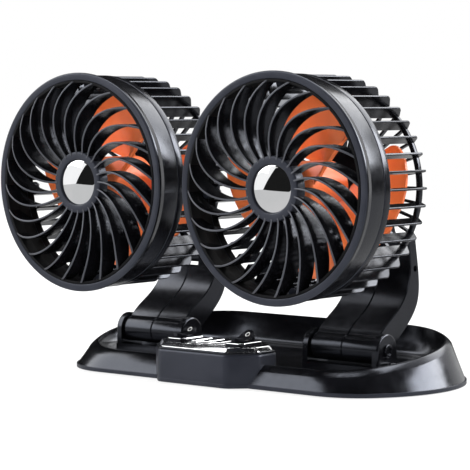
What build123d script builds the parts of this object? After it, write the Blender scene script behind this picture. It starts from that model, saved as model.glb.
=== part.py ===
from build123d import *
import math
import os

# A two-headed fan for a car's dashboard: two caged fan heads on folding arms, on a tray-shaped base.
# Sizes are in millimetres. +Z is up, the fan blows towards -Y, and X runs along the base.
# Places along Y are measured from the hinge line of the two arms. Each piece is moved as it is
# written, so that the origin lies under the middle of the whole fan's box.

# Fits shared by all the pieces
overrun = 2.0
running_clearance = 0.05
seat_clearance = 0.03
turning_gap = 0.3

# Base, seen from above: two round ends, a straight rear and a straight front
plate_end_r = 62.0
plate_end_spacing = 97.0
end_setback = 12.5
plate_front_reach = 39.0
corner_r = 34.0
pad_proud = 0.6
plate_t = 2.0
lip_step = 0.7
cover_wall = 2.0

# Tilted crest round the tray, and the tray that is scooped out inside it
crest_end_r = 51.0
crest_end_spacing = 104.0
crest_front_reach = 33.5
crest_z = 16.35
crest_slope = 8.5
crest_w = 3.0
floor_z = 9.7
scoop_w = 6.0
scoop_rise_shares = (0.0, 0.14, 0.45, 1.0)

# Rubber pads under the base
pad_r = 7.0
pad_t = 1.4
pad_x = 76.0
pad_front_reach = 27.0
pad_rear_setback = 48.0

# Self-tapping screws, in three sizes: head radius, head height, shank radius, length under the head
case_screw = (2.6, 1.2, 1.25, 5.6)
bracket_screw = (2.3, 1.5, 1.1, 6.0)
small_screw = (1.7, 1.2, 0.8, 7.0)
slot_w = 0.8
slot_depth = 0.6
boss_wall = 2.0
case_screw_places = ((88.0, 14.0), (42.0, 42.0), (46.0, -20.0))

# Control box at the front of the base: a long octagon with rounded corners
box_half_w = 33.5
box_front_reach = 46.5
box_depth = 36.5
box_corner = 11.5
box_corner_r = 6.0
box_top_z = 17.0
box_wall = 2.0
box_fit = 0.1

# Stepped trim round the top of the control box: how far each band lies in, and its thickness
trim_insets = (0.5, 1.7, 2.9)
trim_heights = (1.1, 1.1, 1.1)
trim_inner_inset = 4.1
trim_bevel = 0.8
top_flange_t = 1.6
rib_spacing = 8.0
rib_w = 3.0
rib_length = 13.0
rib_h = 1.2
rib_edge_r = 0.5

# Rocker switches in the control box
switch_spacing = 37.5
switch_reach = 28.9
bezel_w = 12.0
bezel_length = 17.0
bezel_t = 1.7
bezel_corner_r = 2.6
bezel_edge_r = 0.6
switch_body_w = 11.2
switch_body_length = 16.2
switch_body_depth = 9.5
switch_window_w = 9.6
switch_window_length = 15.0
switch_pocket_depth = 6.2
rocker_w = 9.0
rocker_length = 13.2
rocker_corner_r = 4.3
rocker_end_h = 5.2
rocker_middle_h = 2.4
rocker_foot = 2.0
rocker_tilt = 14.0
rocker_pivot_drop = 1.2
trunnion_r = 1.2
trunnion_out = 0.6
terminal_w = 4.0
terminal_t = 0.8
terminal_length = 2.4
terminal_spacing = 7.0

# Circuit board under the switches
board_w = 46.0
board_depth = 26.0
board_t = 1.6
board_rise = 2.4
board_post_r = 2.2
board_post_inset = 4.0
resistor_r = 1.6
resistor_length = 9.0
capacitor_r = 1.0
capacitor_h = 1.2

# Gland in the rear wall, where the lead would enter
gland_bore_r = 2.2
gland_r = 4.2
gland_flange_r = 5.4
gland_flange_t = 2.0
gland_z = 9.2
gland_setback = 64.0
gland_length = 10.0

# Hinge brackets on the tray's floor
hinge_z = 19.5
arm_spacing = 124.0
ear_r = 8.3
ear_t = 3.5
ear_edge_r = 1.0
bracket_plate_t = 2.2
tab_r = 4.2
tab_out = 3.2
tab_setback = 2.0
hinge_pin_r = 2.0
hinge_pin_head_r = 3.3
hinge_pin_head_t = 1.0
pin_head_edge_r = 0.4
pin_socket_r = 1.9
pin_socket_depth = 0.8

# Arms: two moulded halves each, seen from the side as a curved blade on a round knuckle
arm_w = 38.0
ear_gap = 0.5
knuckle_r = 6.8
arm_run = 30.0
arm_rise = 53.0
arm_wall = 1.8
arm_edge_r = 0.5
arm_front_shares = (
    (-0.067, 0.11),
    (0.233, 0.255),
    (0.483, 0.349),
    (0.7, 0.481),
    (0.8, 0.613),
    (0.767, 0.981),
)
arm_rear_shares = (
    (0.983, 0.998),
    (1.087, 0.655),
    (1.05, 0.394),
    (0.823, 0.225),
    (0.443, 0.055),
    (0.16, -0.07),
)
arm_post_r = 2.6

# Tilt joint at the top of each arm, and the neck that turns on it
tilt_setback = 29.0
tilt_rise = 38.0
tilt_pin_r = 1.5
tilt_pin_recess = 2.0
neck_w = 12.0
neck_gap = 0.3
neck_foot_r = 3.3
neck_slot_below = 5.5
neck_top_z = 79.2
neck_table_t = 3.2
neck_table_r = 7.0
swivel_setback = 13.0
neck_shoulder_z = 71.0
swivel_pin_r = 1.6
swivel_pin_head_r = 3.0
swivel_pin_head_t = 1.2
swivel_pin_rise = 4.0

# Fan heads: the face stands ahead of the hinge line, and the head's lengths run back from it
head_rise = 79.9
head_reach = 62.2
ring_r = 55.0
ring_bevel = 0.6
ring_land = 1.7
ring_t = 5.2
drum_r = 53.8
drum_wall = 2.5
shell_length = 15.8
band_length = 4.8
parting_gap = 0.25

# Grille of swept slats round the hub, with a domed front
hub_r = 15.5
hub_pocket_r = 11.6
hub_floor_t = 1.8
cap_r = 11.5
cap_bevel = 0.3
grille_rim_wall = 1.4
grille_fit = 0.1
slat_count = 24
slat_t = 1.1
slat_depth = 6.2
dome_h = 4.4
slat_start_angle = 1.6
slat_sweep = 29.5
slat_sweep_power = 1.6
slat_arcs = 2
dome_shares = ((0.0, 0.05), (0.24, 0.59), (0.6, 1.0), (0.86, 0.66), (1.0, 0.0))

# Rear cage: long fins round the blades, turned in to a ring and spokes
fin_count = 40
fin_t = 1.1
fin_r = 53.5
fin_inner_r = 46.6
fin_end_gap = 4.2
fin_corner_r = 5.0
fin_root = 3.0
rear_ring_r = 48.0
rear_ring_w = 2.4
cage_length = 39.4
spoke_depth = 3.0
rear_hub_r = 17.0
rear_hub_t = 3.0

# Four screws that join each cage to its front shell, and the bosses that they go through
head_screw_r = 49.4
head_screw_count = 4
head_boss_r = 2.4
head_boss_length = 4.0

# Motor and its cover behind the cage
motor_r = 11.0
motor_length = 22.0
motor_edge_r = 1.0
cover_r = 15.0
cover_length = 26.0
cover_edge_r = 3.0
shaft_r = 1.5
shaft_bore_r = 2.4

# Impeller: three broad paddles on a round hub
impeller_hub_r = 12.5
impeller_hub_wall = 2.0
impeller_gap = 9.0
impeller_hub_depth = 29.0
impeller_boss_r = 4.0
blade_count = 3
blade_tip_r = 46.0
blade_shoulder_r = 35.0
blade_root_r = 11.3
blade_setback = 2.0
blade_depth = 31.0
blade_camber_power = 1.5
blade_lead_angle = -82.0
blade_span = 112.0
blade_root_lag = 30.0
blade_t = 1.5
blade_round_power = 0.45
blade_stations = 13

# Derived places
plate_top = pad_proud + plate_t
base_rear = end_setback + plate_end_r
hinge_y = (head_reach + dome_h - base_rear) / 2
head_z = hinge_z + head_rise
trim_top = box_top_z + sum(trim_heights)
bezel_top = trim_top + bezel_t
rocker_z = bezel_top - rocker_pivot_drop
ear_inner = arm_w / 2 + ear_gap
ear_outer = ear_inner + ear_t
tilt_z = hinge_z + tilt_rise
slat_rear_reach = head_reach - slat_depth
parting_reach = head_reach - shell_length
drum_rear_reach = parting_reach - band_length
rear_reach = parting_reach - cage_length
fin_end_reach = rear_reach + fin_end_gap
impeller_hub_front_reach = slat_rear_reach - impeller_gap
blade_front_reach = impeller_hub_front_reach - blade_setback
shaft_front_reach = impeller_hub_front_reach - impeller_hub_wall / 2
motor_front = rear_hub_t - rear_reach - spoke_depth
box_middle = box_depth / 2 - box_front_reach
sides = {"left": -1, "right": 1}

os.makedirs("parts", exist_ok=True)


def write(name, shape):
    # Every piece is modelled about the hinge line and stands about the fan's own origin.
    export_step(Pos(0, hinge_y, 0) * shape, "parts/" + name + ".step")


def rod(r, y_front, length):
    # A round bar along Y, from y_front towards the rear
    return Pos(0, y_front + length, 0) * extrude(Plane.XZ * Circle(r), length)


def crossbar(r, length):
    # A round bar along X, centred
    return extrude(Plane.YZ * Circle(r), length / 2, both=True)


def turned(points):
    # A solid of revolution round Y from (radius, y) points
    return revolve(make_face(Polyline(*points, close=True)), Axis.Y)


def spin(angle):
    # A turn round Y, anticlockwise as the fan's front is seen
    return Rot(0, -angle, 0)


def screw(size):
    # A slotted screw under the XY plane: its head stands on the plane and its shank points down.
    head_r, head_h, shank_r, length = size
    head = extrude(Circle(head_r), head_h)
    shank = extrude(Circle(shank_r), -length)
    slot = Pos(0, 0, head_h) * extrude(Rectangle(2 * head_r + overrun, slot_w), -slot_depth)
    return head + shank - slot


def base_outline(end_r, spacing, front_reach, inset):
    # Two round ends joined by a straight rear, and cut off by a straight front
    r = end_r - inset
    front = front_reach - inset
    half = spacing / 2
    corner = half + math.sqrt(r**2 - (end_setback + front) ** 2)
    rear = end_setback + r
    outline = [
        Line((-corner, -front), (corner, -front)),
        ThreePointArc((corner, -front), (half + r, end_setback), (half, rear)),
        Line((half, rear), (-half, rear)),
        ThreePointArc((-half, rear), (-half - r, end_setback), (-corner, -front)),
    ]
    face = make_face(outline)
    front_corners = face.vertices().sort_by(Axis.Y)[:2]
    return fillet(front_corners, corner_r)


def tilted(z, slope):
    # A plane that rises towards the rear
    angle = math.radians(slope)
    return Plane(origin=(0, 0, z), x_dir=(1, 0, 0), z_dir=(0, -math.sin(angle), math.cos(angle)))


def plate_outline(inset):
    return base_outline(plate_end_r, plate_end_spacing, plate_front_reach, inset)


def crest_outline(inset):
    return base_outline(crest_end_r, crest_end_spacing, crest_front_reach, inset)


def mound(inset, drop):
    # The body of the base between its foot and its tilted crest
    foot = Pos(0, 0, plate_top) * plate_outline(lip_step + inset)
    crest = tilted(crest_z - drop, crest_slope) * crest_outline(inset)
    return loft([foot, crest], ruled=True)


def tray(grow):
    # The scooped hollow of the tray, and everything above its rim
    sections = []
    for rise in scoop_rise_shares:
        inset = crest_w - grow + scoop_w * (1 - math.sqrt(1 - (1 - rise) ** 2))
        z = floor_z - grow + rise * (crest_z - floor_z + grow)
        sections.append(tilted(z, rise * crest_slope) * crest_outline(inset))
    above = extrude(sections[-1], crest_z)
    return loft(sections) + above


def octagon(inset):
    x = box_half_w
    front = -box_front_reach
    rear = front + box_depth
    points = [
        (-x + box_corner, front),
        (x - box_corner, front),
        (x, front + box_corner),
        (x, rear - box_corner),
        (x - box_corner, rear),
        (-x + box_corner, rear),
        (-x, rear - box_corner),
        (-x, front + box_corner),
    ]
    face = make_face(Polyline(*points, close=True))
    face = fillet(face.vertices(), box_corner_r)
    if inset == 0:
        return face
    return offset(face, -inset, kind=Kind.INTERSECTION)


def mirrored_places(places):
    return [(side * x, y) for x, y in places for side in sides.values()]


def pad_places():
    return mirrored_places(((pad_x, -pad_front_reach), (pad_x, pad_rear_setback)))


def board_post_places():
    x = board_w / 2 - board_post_inset
    y = board_depth / 2 - board_post_inset
    return mirrored_places(((x, box_middle - y), (x, box_middle + y)))


def tab_places():
    x = ear_outer + tab_out
    places = []
    for side in sides.values():
        middle = side * arm_spacing / 2
        places += [(middle - x, tab_setback), (middle + x, tab_setback)]
    return places


def base_plate():
    plate = Pos(0, 0, pad_proud) * extrude(plate_outline(0) + octagon(0), plate_t)
    for x, y in pad_places():
        plate -= Pos(x, y, 0) * extrude(Circle(pad_r + seat_clearance), pad_t)
    head_r, head_h, shank_r, length = case_screw
    for x, y in mirrored_places(case_screw_places):
        plate -= Pos(x, y, 0) * extrude(Circle(head_r + seat_clearance), pad_proud + head_h)
        plate -= Pos(x, y, 0) * extrude(Circle(shank_r + seat_clearance), plate_top + overrun)
    for x, y in board_post_places():
        plate += Pos(x, y, plate_top) * extrude(Circle(board_post_r), board_rise)
    return plate


def base_cover():
    hollow = mound(cover_wall, cover_wall) - tray(cover_wall)
    cover = mound(0, 0) - tray(0) - hollow
    boss_h = floor_z - cover_wall / 2 - plate_top
    for x, y in mirrored_places(case_screw_places):
        cover += Pos(x, y, plate_top) * extrude(Circle(case_screw[2] + boss_wall), boss_h)
    for x, y in tab_places():
        cover += Pos(x, y, plate_top) * extrude(Circle(bracket_screw[2] + boss_wall), boss_h)
    case_hole_h = pad_proud + case_screw[1] + case_screw[3]
    for x, y in mirrored_places(case_screw_places):
        cover -= Pos(x, y, 0) * extrude(Circle(case_screw[2] + seat_clearance), case_hole_h)
    for x, y in tab_places():
        cover -= Pos(x, y, 0) * extrude(Circle(bracket_screw[2] + seat_clearance), floor_z + overrun)
    cover -= extrude(octagon(-box_fit), box_top_z)
    gland_hole = rod(gland_r + seat_clearance, gland_setback, gland_length + overrun)
    gland_hole += rod(gland_flange_r + seat_clearance, gland_setback, gland_flange_t + seat_clearance)
    return cover - Pos(0, 0, gland_z) * gland_hole


def base_pads():
    return Compound([Pos(x, y, 0) * extrude(Circle(pad_r), pad_t) for x, y in pad_places()])


def case_screws():
    seat = pad_proud + case_screw[1]
    one = Pos(0, 0, seat) * Rot(180, 0, 0) * screw(case_screw)
    return Compound([Pos(x, y, 0) * one for x, y in mirrored_places(case_screw_places)])


def cord_gland():
    body = rod(gland_r, gland_setback, gland_length) + rod(gland_flange_r, gland_setback, gland_flange_t)
    bore = rod(gland_bore_r, gland_setback - overrun, gland_length + 2 * overrun)
    return Pos(0, 0, gland_z) * (body - bore)


def control_box():
    walls = extrude(octagon(0), box_top_z - plate_top) - extrude(octagon(box_wall), box_top_z)
    return Pos(0, 0, plate_top) * walls


def trim_band(number):
    z = box_top_z + sum(trim_heights[:number])
    band = extrude(octagon(trim_insets[number]), trim_heights[number])
    top_edges = band.edges().group_by(Axis.Z)[-1]
    band = chamfer(top_edges, trim_bevel)
    return Pos(0, 0, z) * (band - extrude(octagon(trim_inner_inset), box_top_z))


def control_top():
    flange = Pos(0, 0, box_top_z - top_flange_t) * extrude(octagon(box_wall + box_fit), top_flange_t)
    block_inset = trim_inner_inset + box_fit
    top = flange + Pos(0, 0, box_top_z) * extrude(octagon(block_inset), trim_top - box_top_z)
    window = Rectangle(switch_body_w + box_fit, switch_body_length + box_fit)
    for side in sides.values():
        place = Pos(side * switch_spacing / 2, -switch_reach, 0)
        top -= place * extrude(window, trim_top + overrun)
    rib = Box(rib_w, rib_length, 2 * rib_h)
    rib = fillet(rib.edges().group_by(Axis.Z)[-1], rib_edge_r)
    for step in (-1, 0, 1):
        top += Pos(step * rib_spacing, -switch_reach, trim_top) * rib
    return top


def switch_body():
    # Modelled about the rocker's pivot in X and Y, and at its real height
    bezel = extrude(RectangleRounded(bezel_w, bezel_length, bezel_corner_r), bezel_t)
    bezel = fillet(bezel.edges().group_by(Axis.Z)[-1], bezel_edge_r)
    body = extrude(Rectangle(switch_body_w, switch_body_length), -switch_body_depth)
    switch = Pos(0, 0, trim_top) * (bezel + body)
    opening = RectangleRounded(switch_window_w, switch_window_length, rocker_corner_r)
    pocket = extrude(opening, switch_pocket_depth + overrun)
    switch -= Pos(0, 0, bezel_top - switch_pocket_depth) * pocket
    bore = crossbar(trunnion_r + running_clearance, rocker_w + 2 * (trunnion_out + running_clearance))
    switch -= Pos(0, 0, rocker_z) * bore
    terminal = extrude(Rectangle(terminal_w, terminal_t), -terminal_length)
    for step in (-1, 1):
        switch += Pos(0, step * terminal_spacing / 2, trim_top - switch_body_depth) * terminal
    return switch


def rocker():
    # A dished paddle with round ends on two trunnions, shown with its front end pressed
    half = rocker_length / 2
    profile = [
        Line((-half, -trunnion_r), (-half, rocker_end_h)),
        ThreePointArc((-half, rocker_end_h), (0, rocker_middle_h), (half, rocker_end_h)),
        Line((half, rocker_end_h), (half, -trunnion_r)),
        ThreePointArc((half, -trunnion_r), (0, -trunnion_r - rocker_foot), (-half, -trunnion_r)),
    ]
    paddle = extrude(Plane.YZ * make_face(profile), rocker_w / 2, both=True)
    plan = RectangleRounded(rocker_w, rocker_length, rocker_corner_r)
    paddle = paddle & extrude(plan, rocker_length, both=True)
    paddle += crossbar(trunnion_r, rocker_w + 2 * trunnion_out)
    return Pos(0, 0, rocker_z) * Rot(rocker_tilt, 0, 0) * paddle


def circuit_board():
    board = Box(board_w, board_depth, board_t)
    resistor = Pos(0, 0, board_t / 2 + resistor_r) * crossbar(resistor_r, resistor_length)
    board += Pos(0, -board_depth / 4, -resistor_r / 4) * resistor
    capacitor = Pos(0, board_depth / 4, board_t / 2) * extrude(Circle(capacitor_r), capacitor_h)
    for step in (-1, 1):
        board += Pos(step * board_w / 4, 0, 0) * capacitor
    return Pos(0, box_middle, plate_top + board_rise + board_t / 2) * board


def bracket():
    # Modelled about the middle of its arm
    arch_h = hinge_z - floor_z
    arch = Pos(0, hinge_z) * Circle(ear_r) + Pos(0, hinge_z - arch_h / 2) * Rectangle(2 * ear_r, arch_h)
    ear = extrude(Plane.YZ * arch, ear_t)
    ear = fillet(ear.edges().group_by(Axis.X)[-1].filter_by(GeomType.CIRCLE), ear_edge_r)
    solid = Pos(0, 0, floor_z + bracket_plate_t / 2) * Box(2 * ear_outer, 2 * ear_r, bracket_plate_t)
    solid += Pos(ear_inner, 0, 0) * ear
    solid += mirror(Pos(ear_inner, 0, 0) * ear, Plane.YZ)
    for turn in (-1, 1):
        tab = Pos(turn * (ear_outer + tab_out), tab_setback) * Circle(tab_r)
        tab += Pos(turn * (ear_outer + tab_out / 2), tab_setback) * Rectangle(tab_out, 2 * tab_r)
        solid += Pos(0, 0, floor_z) * extrude(tab, bracket_plate_t)
    solid -= Pos(0, 0, hinge_z) * crossbar(hinge_pin_r + seat_clearance, 2 * ear_outer + overrun)
    for turn in (-1, 1):
        place = Pos(turn * (ear_outer + tab_out), tab_setback, 0)
        solid -= place * extrude(Circle(bracket_screw[2] + seat_clearance), hinge_z)
    return solid


def bracket_screws():
    seat = floor_z + bracket_plate_t
    return Compound([Pos(x, y, seat) * screw(bracket_screw) for x, y in tab_places()])


def hinge_pin():
    pin = crossbar(hinge_pin_r, 2 * ear_outer)
    for turn in (-1, 1):
        head = crossbar(hinge_pin_head_r, hinge_pin_head_t)
        head = fillet(head.edges(), pin_head_edge_r)
        pin += Pos(turn * (ear_outer + hinge_pin_head_t / 2), 0, 0) * head
        pin -= Pos(turn * (ear_outer + hinge_pin_head_t), 0, 0) * crossbar(pin_socket_r, 2 * pin_socket_depth)
    return Pos(0, 0, hinge_z) * pin


def share_points(shares):
    return [(y * arm_run, hinge_z + z * arm_rise) for y, z in shares]


def arm_profile():
    front = share_points(arm_front_shares)
    rear = share_points(arm_rear_shares)
    blade = make_face([Spline(*front), Line(front[-1], rear[0]), Spline(*rear), Line(rear[-1], front[0])])
    return blade + Pos(0, hinge_z) * Circle(knuckle_r)


def arm_hollow():
    # The room inside the blade, between the knuckle and the tilt joint
    shift = arm_wall * math.sqrt(2)
    front = [(y + shift, z) for y, z in share_points(arm_front_shares)[1:5]]
    rear = [(y - shift, z) for y, z in share_points(arm_rear_shares)[1:5]]
    return make_face([Spline(*front), Line(front[-1], rear[0]), Spline(*rear), Line(rear[-1], front[0])])


def arm_post_places():
    # Two places halfway through the blade's thickness
    front = share_points(arm_front_shares)
    rear = share_points(arm_rear_shares)
    pairs = ((front[1], rear[4]), (front[3], rear[2]))
    return [((a[0] + b[0]) / 2, (a[1] + b[1]) / 2) for a, b in pairs]


def arm_half(turn):
    # One moulded half; turn is the side of the seam that it lies on
    half = extrude(Plane.YZ * arm_profile(), turn * arm_w / 2)
    edges = half.edges().group_by(Axis.X)
    half = chamfer(edges[0] + edges[-1], arm_edge_r)
    half -= extrude(Plane.YZ * arm_hollow(), turn * (arm_w / 2 - arm_wall))
    for y, z in arm_post_places():
        post = extrude(Plane.YZ * Circle(arm_post_r), turn * (arm_w - arm_wall) / 2)
        half += Pos(0, y, z) * post
    slot_z = tilt_z - neck_slot_below
    slot = Box(neck_w + 2 * neck_gap, 4 * arm_run, arm_rise)
    half -= Pos(0, 0, slot_z + arm_rise / 2) * slot
    cheek_w = (arm_w - neck_w) / 2 - neck_gap
    cheek = extrude(Plane.YZ * Circle(tilt_pin_r + arm_wall), turn * (cheek_w - arm_wall / 2))
    half += Pos(turn * (neck_w / 2 + neck_gap), tilt_setback, tilt_z) * cheek
    half -= Pos(0, 0, hinge_z) * crossbar(hinge_pin_r + running_clearance, arm_w + overrun)
    half -= Pos(0, tilt_setback, tilt_z) * crossbar(tilt_pin_r + seat_clearance, arm_w + overrun)
    for y, z in arm_post_places():
        half -= Pos(0, y, z) * crossbar(small_screw[2] + seat_clearance, 2 * small_screw[3])
    return half


def arm_screws():
    # Headless screws that draw the two halves together inside the posts
    pin = crossbar(small_screw[2], 2 * small_screw[3])
    return Compound([Pos(0, y, z) * pin for y, z in arm_post_places()])


def tilt_pin():
    return Pos(0, tilt_setback, tilt_z) * crossbar(tilt_pin_r, arm_w - 2 * tilt_pin_recess)


def neck():
    foot_front = tilt_setback - neck_foot_r
    foot_rear = tilt_setback + neck_foot_r
    table_z = neck_top_z - neck_table_t
    outline = Polyline(
        (foot_front, tilt_z),
        (foot_front, neck_shoulder_z),
        (swivel_setback, table_z),
        (swivel_setback, neck_top_z),
        (tilt_setback, neck_top_z),
        (foot_rear, neck_shoulder_z),
        (foot_rear, tilt_z),
        close=True,
    )
    profile = make_face(outline) + Pos(tilt_setback, tilt_z) * Circle(neck_foot_r)
    solid = extrude(Plane.YZ * profile, neck_w / 2, both=True)
    solid += Pos(0, swivel_setback, table_z) * extrude(Circle(neck_table_r), neck_table_t)
    solid -= Pos(0, tilt_setback, tilt_z) * crossbar(tilt_pin_r + running_clearance, neck_w + overrun)
    pin_hole = Circle(swivel_pin_r + seat_clearance)
    solid -= Pos(0, swivel_setback, table_z - neck_table_t) * extrude(pin_hole, 3 * neck_table_t)
    head_hole = Circle(swivel_pin_head_r + seat_clearance)
    return solid - Pos(0, swivel_setback, table_z + swivel_pin_head_t) * extrude(head_hole, -arm_rise)


def swivel_pin():
    table_z = neck_top_z - neck_table_t
    pin = Pos(0, swivel_setback, table_z) * extrude(Circle(swivel_pin_head_r), swivel_pin_head_t)
    shank = extrude(Circle(swivel_pin_r), neck_table_t + swivel_pin_rise)
    return pin + Pos(0, swivel_setback, table_z) * shank


def head_screw_turns():
    # The screws stand midway between fins
    half_pitch = 180 / fin_count
    return [spin(360 / head_screw_count * step + half_pitch) for step in range(head_screw_count)]


def screw_bosses(y_front, length):
    boss = Pos(head_screw_r, 0, 0) * rod(head_boss_r, y_front, length)
    return [turn * boss for turn in head_screw_turns()]


def screw_holes():
    shank_r, length = small_screw[2:]
    hole = rod(shank_r + seat_clearance, -drum_rear_reach - length - seat_clearance, length + overrun)
    return [turn * Pos(head_screw_r, 0, 0) * hole for turn in head_screw_turns()]


def head_screws():
    one = Pos(head_screw_r, -drum_rear_reach, 0) * Rot(-90, 0, 0) * screw(small_screw)
    return Compound([turn * one for turn in head_screw_turns()])


def front_shell():
    inner = drum_r - drum_wall
    rear = -parting_reach - parting_gap
    shell = turned(
        [
            (inner, -head_reach),
            (ring_r - ring_bevel, -head_reach),
            (ring_r, -head_reach + ring_bevel),
            (ring_r, -head_reach + ring_land),
            (drum_r, ring_t - head_reach),
            (drum_r, rear),
            (inner, rear),
        ]
    )
    return shell + screw_bosses(rear - head_boss_length, head_boss_length) - screw_holes()


def slat_angle(r):
    # How far round a slat's middle line has swept at a radius
    share = (r - hub_r) / (drum_r - drum_wall - hub_r)
    return slat_start_angle - slat_sweep * max(share, 0) ** slat_sweep_power


def slat_lean(r):
    # The angle between the slat's middle line and a radius
    span = drum_r - drum_wall - hub_r
    share = max((r - hub_r) / span, 0)
    rate = slat_sweep * slat_sweep_power * share ** (slat_sweep_power - 1) / span
    return math.atan(r * math.radians(rate))


def slat_edge(side):
    # One side of a slat, as seen from the front
    start = (hub_r + hub_pocket_r) / 2
    end = drum_r - drum_wall - grille_fit - grille_rim_wall / 2
    points = []
    for step in range(2 * slat_arcs + 1):
        r = start + (end - start) * step / (2 * slat_arcs)
        half_angle = slat_t / 2 / (r * math.cos(slat_lean(r)))
        angle = math.radians(slat_angle(r)) + side * half_angle
        points.append((r * math.cos(angle), r * math.sin(angle)))
    return points


def arcs_through(points):
    # Arcs through each three points in turn, the last of one being the first of the next
    return [ThreePointArc(*points[first : first + 3]) for first in range(0, len(points) - 2, 2)]


def dome():
    # The room in front of the slats' rear edges and behind the domed front
    rim = drum_r - drum_wall - grille_fit
    front = [(hub_r + share * (rim - hub_r), -head_reach - rise * dome_h) for share, rise in dome_shares]
    inner = hub_pocket_r + grille_fit
    profile = [
        Line((inner, -slat_rear_reach), (rim, -slat_rear_reach)),
        Line((rim, -slat_rear_reach), front[-1]),
        Line(front[0], (inner, front[0][1])),
        Line((inner, front[0][1]), (inner, -slat_rear_reach)),
    ]
    return revolve(make_face(profile + arcs_through(front)), Axis.Y)


def grille():
    one_side = slat_edge(1)
    other_side = slat_edge(-1)
    ends = [Line(one_side[-1], other_side[-1]), Line(other_side[0], one_side[0])]
    strip = make_face(arcs_through(one_side) + arcs_through(other_side) + ends)
    length = head_reach + dome_h + overrun - slat_rear_reach
    blank = Pos(0, -slat_rear_reach, 0) * extrude(Plane.XZ * strip, length)
    slat = blank & dome()
    rim_r = drum_r - drum_wall - grille_fit
    rim = rod(rim_r, -head_reach, head_reach - slat_rear_reach)
    rim -= rod(rim_r - grille_rim_wall, -head_reach - overrun, head_reach)
    hub = rod(hub_r, -head_reach, head_reach - slat_rear_reach)
    hub_hollow = head_reach - slat_rear_reach - hub_floor_t
    hub -= rod(hub_pocket_r, -head_reach - overrun, hub_hollow + overrun)
    slats = [spin(360 / slat_count * step) * slat for step in range(slat_count)]
    return rim + hub + slats


def hub_cap():
    depth = head_reach - slat_rear_reach - hub_floor_t
    cap = rod(cap_r, -head_reach, depth)
    return chamfer(cap.edges().sort_by(Axis.Y)[0], cap_bevel)


def fin():
    # One fin and its spoke, as a flat plate in the plane of a radius
    end = -fin_end_reach
    profile = [
        Line((fin_inner_r, -drum_rear_reach - fin_root), (fin_r, -drum_rear_reach - fin_root)),
        Line((fin_r, -drum_rear_reach - fin_root), (fin_r, end - fin_corner_r)),
        RadiusArc((fin_r, end - fin_corner_r), (fin_r - fin_corner_r, end), -fin_corner_r),
        Line((fin_r - fin_corner_r, end), (rear_ring_r, -rear_reach)),
        Line((rear_ring_r, -rear_reach), (rear_hub_r - fin_root, -rear_reach)),
        Line((rear_hub_r - fin_root, -rear_reach), (rear_hub_r - fin_root, -rear_reach - spoke_depth)),
        Line((rear_hub_r - fin_root, -rear_reach - spoke_depth), (fin_inner_r, -rear_reach - spoke_depth)),
        Line((fin_inner_r, -rear_reach - spoke_depth), (fin_inner_r, -drum_rear_reach - fin_root)),
    ]
    return extrude(make_face(profile), fin_t / 2, both=True)


def cage():
    inner = drum_r - drum_wall
    band = turned(
        [
            (inner, -parting_reach),
            (drum_r, -parting_reach),
            (drum_r, -drum_rear_reach),
            (inner, -drum_rear_reach),
        ]
    )
    ring_inner = rear_ring_r - rear_ring_w
    ring = turned(
        [
            (ring_inner, -rear_reach - spoke_depth),
            (rear_ring_r, -rear_reach - spoke_depth),
            (rear_ring_r, -rear_reach),
            (ring_inner, -rear_reach),
        ]
    )
    hub = rod(rear_hub_r, -rear_reach - spoke_depth, rear_hub_t)
    plate = fin()
    fins = [spin(360 / fin_count * step) * plate for step in range(fin_count)]
    band += screw_bosses(-parting_reach, parting_reach - drum_rear_reach)
    body = (band - screw_holes()) + ring + hub + fins
    body -= rod(shaft_bore_r, -rear_reach - spoke_depth - overrun, spoke_depth + 2 * overrun)
    return body


def motor():
    body = rod(motor_r, motor_front, motor_length)
    body = fillet(body.edges(), motor_edge_r)
    return body - rod(shaft_r + running_clearance, motor_front - overrun, motor_length + 2 * overrun)


def motor_cover():
    shell = rod(cover_r, motor_front, cover_length)
    shell = fillet(shell.edges().sort_by(Axis.Y)[-1], cover_edge_r)
    boss_z = neck_top_z + turning_gap
    boss = Pos(0, swivel_setback, boss_z - head_z) * extrude(Circle(neck_table_r), head_z - boss_z)
    shell = shell + boss
    room = motor_length + seat_clearance + overrun
    shell -= rod(motor_r + seat_clearance, motor_front - overrun, room)
    hole = extrude(Circle(swivel_pin_r + running_clearance), swivel_pin_rise + turning_gap)
    return shell - Pos(0, swivel_setback, boss_z - head_z - turning_gap) * hole


def shaft():
    rear = motor_front + motor_length - running_clearance
    return rod(shaft_r, -shaft_front_reach, shaft_front_reach + rear)


def blade_curve(outer):
    # The tip or the root of a blade, as points (x, y, z)
    points = []
    for step in range(blade_stations):
        phase = math.pi * step / (blade_stations - 1)
        along = -math.cos(phase)
        swing = math.copysign(abs(along) ** blade_round_power, along)
        share = (1 + swing) / 2
        r = blade_root_r
        lag = blade_root_lag
        if outer:
            rise = math.sin(phase) ** blade_round_power
            r = blade_shoulder_r + (blade_tip_r - blade_shoulder_r) * rise
            lag = 0
        angle = math.radians(blade_lead_angle - lag + blade_span * share)
        y = -blade_front_reach + blade_depth * (1 - (1 - share) ** blade_camber_power)
        points.append((r * math.cos(angle), y, r * math.sin(angle)))
    return points


def impeller():
    root = Spline(*blade_curve(False))
    tip = Spline(*blade_curve(True))
    sheet = Face.make_surface_from_curves(root, tip)
    blade = thicken(sheet, blade_t)
    hub = rod(impeller_hub_r, -impeller_hub_front_reach, impeller_hub_depth)
    hub = fillet(hub.edges().sort_by(Axis.Y)[0], impeller_hub_wall)
    blades = [spin(360 / blade_count * step) * blade for step in range(blade_count)]
    body = hub + blades
    wall_rear = impeller_hub_wall - impeller_hub_front_reach
    hollow = rod(impeller_hub_r - impeller_hub_wall, wall_rear, impeller_hub_depth)
    body -= hollow - rod(impeller_boss_r, wall_rear, impeller_hub_depth)
    return body - rod(shaft_r + seat_clearance, -shaft_front_reach - overrun, shaft_front_reach)


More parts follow.
